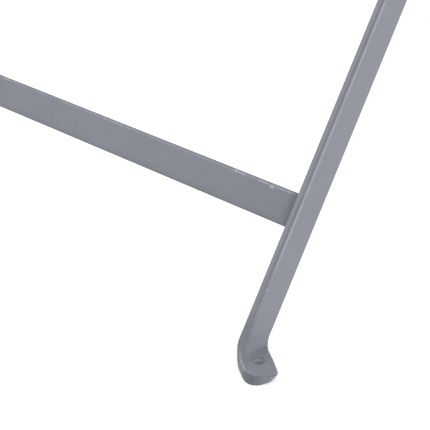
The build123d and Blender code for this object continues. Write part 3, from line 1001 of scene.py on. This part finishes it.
class SAWHORSE_OT_rivets(bpy.types.Operator):
    """Set the domed rivet heads of the hinge leaves and of the stays"""

    bl_idname = "sawhorse.rivets"
    bl_label = "Rivets"

    def execute(self, context):
        zinc = ready_material("zinc_steel", zinc_steel)
        recipe = rivet_recipe()
        for face_name, face in FACES.items():
            self.hinge_heads(context, recipe, zinc, face_name, face)
            for side_name, side in SIDES.items():
                node = f"{side_name}_{face_name}_stay_rivet"
                centre, inner = self.stay_place(node, f"{side_name}_{face_name}_stay_link", side)
                heads = [
                    ((side * LEG_OUTSIDE, centre.y, centre.z), (side, 0, 0), STAY_HEAD_OUTSIDE),
                    ((inner - side * HEAD_CLEAR, centre.y, centre.z), (-side, 0, 0), STAY_HEAD_INSIDE),
                ]
                self.head_piece(context, recipe, zinc, f"{node}_heads", f"{face_name}_frame", heads, node)
        for side_name, side in SIDES.items():
            node = f"{side_name}_elbow_rivet_head"
            centre, inner = self.stay_place(node, f"{side_name}_back_stay_link", side)
            heads = [((inner, centre.y, centre.z), (-side, 0, 0), STAY_HEAD_INSIDE)]
            self.head_piece(
                context, recipe, zinc, f"{side_name}_elbow_dome", f"{side_name}_back_stay", heads, node)
        return {"FINISHED"}

    def hinge_heads(self, context, recipe, zinc, face_name, face):
        """The six heads on one rail's hinge leaves."""
        low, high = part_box(f"{face_name}_hinge_rivets")
        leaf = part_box(f"{face_name}_right_hinge_leaf")
        outer_y = leaf[0].y if face < 0 else leaf[1].y
        lowest, highest = low.z + HINGE_RIVET_EDGE, high.z - HINGE_RIVET_EDGE
        heads = []
        for side in SIDES.values():
            for along, rise in HINGE_RIVETS:
                x = side * (leaf[0].x + leaf[1].x) / 2 + along * MM
                heads.append(((x, outer_y, lowest + (highest - lowest) * rise), (0, face, 0), HINGE_HEAD))
        self.head_piece(
            context, recipe, zinc, f"{face_name}_hinge_rivet_heads", f"{face_name}_frame", heads,
            f"{face_name}_hinge_rivets")

    def stay_place(self, rivet, link, side):
        """The middle of a rivet, and the x of its link's inner face."""
        low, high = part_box(rivet)
        link_low, link_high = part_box(link)
        return (low + high) / 2, link_low.x if side > 0 else link_high.x

    def head_piece(self, context, recipe, zinc, name, body, heads, node):
        """One piece of domed heads, given as (place, direction, radius)."""
        user = context.scene.sawhorse_joints
        data = bpy.data.meshes.new(name)
        places, ways, radii = zip(*heads)
        data.from_pydata(places, [], [])
        data.attributes.new("facing", "FLOAT_VECTOR", "POINT")
        data.attributes.new("head", "FLOAT", "POINT")
        for i, (way, radius) in enumerate(zip(ways, radii)):
            data.attributes["facing"].data[i].vector = way
            data.attributes["head"].data[i].value = radius
        values = {"Facets": user.facets, "Height": DOME_HEIGHT, "Material": zinc}
        piece = made_by(recipe, name, data, values)
        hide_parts(node)
        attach(piece, body)


class SAWHORSE_OT_finishes(bpy.types.Operator):
    """Give the rails, hinge leaves, stays, pins and washers their finishes"""

    bl_idname = "sawhorse.finishes"
    bl_label = "Finishes"

    def execute(self, context):
        paint = ready_material("grey_paint", satin_paint)
        zinc = ready_material("zinc_steel", zinc_steel)
        for name, node in frame["nodes"].items():
            bare = any(word in name for word in ("pin", "rivet", "washer", "spacer"))
            material = zinc if bare else paint
            for holder in node.material_slots:
                holder.material = material
            if not node.material_slots:
                node.data.materials.append(material)
        return {"FINISHED"}


class SAWHORSE_OT_stage(bpy.types.Operator):
    """Set up the camera, the lights and the pale floor"""

    bl_idname = "sawhorse.stage"
    bl_label = "Stage"

    def execute(self, context):
        user = context.scene.sawhorse_stage
        scene = context.scene
        mesh = bpy.data.meshes.new("floor")
        half = FLOOR_HALF
        corners = [(-half, -half, 0), (half, -half, 0), (half, half, 0), (-half, half, 0)]
        mesh.from_pydata(corners, [], [(0, 1, 2, 3)])
        floor = bpy.data.objects.new("floor", mesh)
        mesh.materials.append(ready_material("pale_floor", floor_paint))
        scene.collection.objects.link(floor)
        floor.location.z = -FLOOR_DROP

        level = cos(user.elevation)
        back = Vector((sin(user.azimuth) * level, -cos(user.azimuth) * level, sin(user.elevation)))
        right = Vector((cos(user.azimuth), sin(user.azimuth), 0))
        upward = back.cross(right)
        turned_right = right * cos(user.roll) + upward * sin(user.roll)
        turned_up = upward * cos(user.roll) - right * sin(user.roll)
        aim = CORNER + IN_LEG * AIM_IN + UP_LEG * AIM_UP - Vector((AIM_LEFT, 0, 0))
        camera_data = bpy.data.cameras.new("camera")
        camera_data.lens = user.lens
        camera_data.sensor_width = 36
        camera_data.clip_start = 0.05
        camera = bpy.data.objects.new("camera", camera_data)
        scene.collection.objects.link(camera)
        camera.matrix_world = Matrix.Translation(aim + back * CAMERA_AWAY) @ Matrix(
            (turned_right, turned_up, back)).transposed().to_4x4()
        scene.camera = camera

        world = bpy.data.worlds.new("surround")
        world.use_nodes = True
        sky = world.node_tree.nodes["Background"]
        sky.inputs["Color"].default_value = (1, 1, 1, 1)
        sky.inputs["Strength"].default_value = user.sky
        scene.world = world
        self.key_light(scene, user.key)
        scene.view_settings.view_transform = "Standard"
        return {"FINISHED"}

    def key_light(self, scene, power):
        """A large soft light to the right, turned to the lower end of the front right leg."""
        data = bpy.data.lights.new("key_light", "AREA")
        data.shape = "DISK"
        data.size = KEY_SIZE
        data.energy = power
        lamp = bpy.data.objects.new("key_light", data)
        scene.collection.objects.link(lamp)
        lamp.location = CORNER + UP_LEG * KEY_AIM_UP + KEY_AWAY
        lamp.rotation_euler = KEY_AWAY.to_track_quat("Z", "Y").to_euler()


class SAWHORSE_PT_panel(bpy.types.Panel):
    """The sawhorse's sizes, colours and steps"""

    bl_idname = "SAWHORSE_PT_panel"
    bl_label = "Folding Sawhorse"
    bl_space_type = "VIEW_3D"
    bl_region_type = "UI"
    bl_category = "Sawhorse"

    def draw(self, context):
        for group in GROUPS:
            user = getattr(context.scene, group)
            box = self.layout.box()
            for key in user.__annotations__:
                box.prop(user, key)
        for step in STEPS:
            self.layout.operator(step.bl_idname)


GROUPS = {
    "sawhorse_paint": SawhorsePaint, "sawhorse_bars": SawhorseBars, "sawhorse_joints": SawhorseJoints,
    "sawhorse_stage": SawhorseStage}
STEPS = (
    SAWHORSE_OT_stage, SAWHORSE_OT_legs, SAWHORSE_OT_crossbars, SAWHORSE_OT_welds, SAWHORSE_OT_rivets,
    SAWHORSE_OT_finishes)


def register():
    """Registers the settings, the steps and the panel."""
    for one in (*GROUPS.values(), *STEPS, SAWHORSE_PT_panel):
        bpy.utils.register_class(one)
    for name, group in GROUPS.items():
        setattr(bpy.types.Scene, name, PointerProperty(type=group))


def unregister():
    for name in GROUPS:
        delattr(bpy.types.Scene, name)
    for one in (SAWHORSE_PT_panel, *STEPS, *GROUPS.values()):
        bpy.utils.unregister_class(one)


def main():
    """Builds the whole sawhorse step by step."""
    register()
    for step in STEPS:
        section, name = step.bl_idname.split(".")
        getattr(getattr(bpy.ops, section), name)()


if __name__ == "__main__":
    main()
